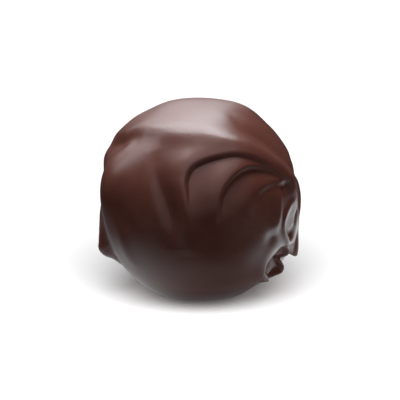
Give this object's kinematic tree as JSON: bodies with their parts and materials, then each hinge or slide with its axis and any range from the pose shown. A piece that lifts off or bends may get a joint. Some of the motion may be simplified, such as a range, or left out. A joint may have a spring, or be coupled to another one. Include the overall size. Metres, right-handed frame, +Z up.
{
  "type": "chocolate truffle",
  "caption": "Round hand-dipped dark chocolate truffle with draped folds over its top and front, a gathered point at the right and a thin torn edge of coating below it.",
  "frame": {"origin": "on the resting plane, under the middle of the ball", "axes": "+Z up, -Y towards the front with the curved folds, +X towards the gathered point and its torn edge"},
  "size_m": [0.0301, 0.0298, 0.0297],
  "materials": {
    "dark_chocolate": "dark chocolate with a soft sheen"
  },
  "bodies": {
    "root": {"truffle": "dark_chocolate"}
  },
  "joints": []
}
